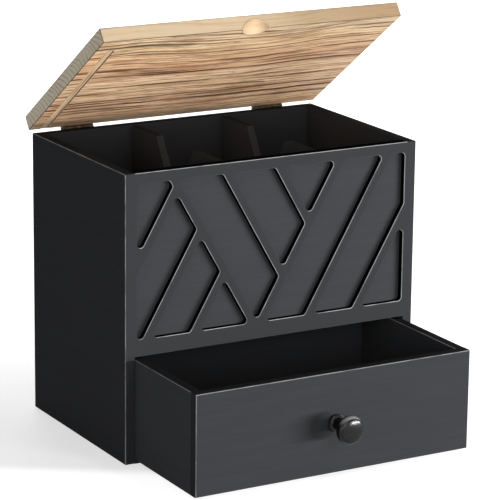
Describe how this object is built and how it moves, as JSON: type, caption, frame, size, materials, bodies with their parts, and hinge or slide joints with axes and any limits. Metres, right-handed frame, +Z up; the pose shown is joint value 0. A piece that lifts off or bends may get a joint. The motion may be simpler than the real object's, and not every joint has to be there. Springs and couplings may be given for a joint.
{
  "type": "tabletop organizer box",
  "caption": "Black tabletop organizer box with open compartments under a hinged wooden lid, a slanted rib pattern cut in the front, and a pull-out drawer.",
  "frame": {"origin": "centre of the case's underside, on the surface that it stands on", "axes": "+Z up, -Y towards the patterned front and the drawer's knob, +X to the right seen from the front"},
  "size_m": [0.2606, 0.2876, 0.3293],
  "materials": {
    "black_board": "satin black paint",
    "lid_wood": "clear matt",
    "batten_wood": "clear matt",
    "knob_black": "satin",
    "hinge_bronze": "antique bronze",
    "screw_steel": "plated"
  },
  "bodies": {
    "case": {"side_left": "black_board", "side_right": "black_board", "bottom_board": "black_board", "back_panel": "black_board", "front_panel": "black_board", "compartment_floor": "black_board", "divider_left": "black_board", "divider_right": "black_board", "hinge_left_case_leaf": "hinge_bronze", "hinge_right_case_leaf": "hinge_bronze", "hinge_left_pin": "hinge_bronze", "hinge_right_pin": "hinge_bronze", "hinge_case_screws": "hinge_bronze"},
    "drawer": {"drawer_front": "black_board", "drawer_left_side": "black_board", "drawer_right_side": "black_board", "drawer_back": "black_board", "drawer_bottom": "black_board", "drawer_knob": "knob_black", "knob_screw": "screw_steel"},
    "lid": {"lid_board": "lid_wood", "lid_batten": "batten_wood", "hinge_left_lid_leaf": "hinge_bronze", "hinge_right_lid_leaf": "hinge_bronze", "hinge_lid_screws": "hinge_bronze"}
  },
  "joints": [
    {"name": "drawer_slide", "type": "slide", "parent": "case", "child": "drawer", "axis": [0, -1, 0], "range_m": [-0.0955, 0.03]},
    {"name": "lid_hinge", "type": "hinge", "parent": "case", "child": "lid", "pos_m": [0, 0.0828, 0.22625], "axis": [-1, 0, 0], "range_deg": [-35, 145]}
  ]
}
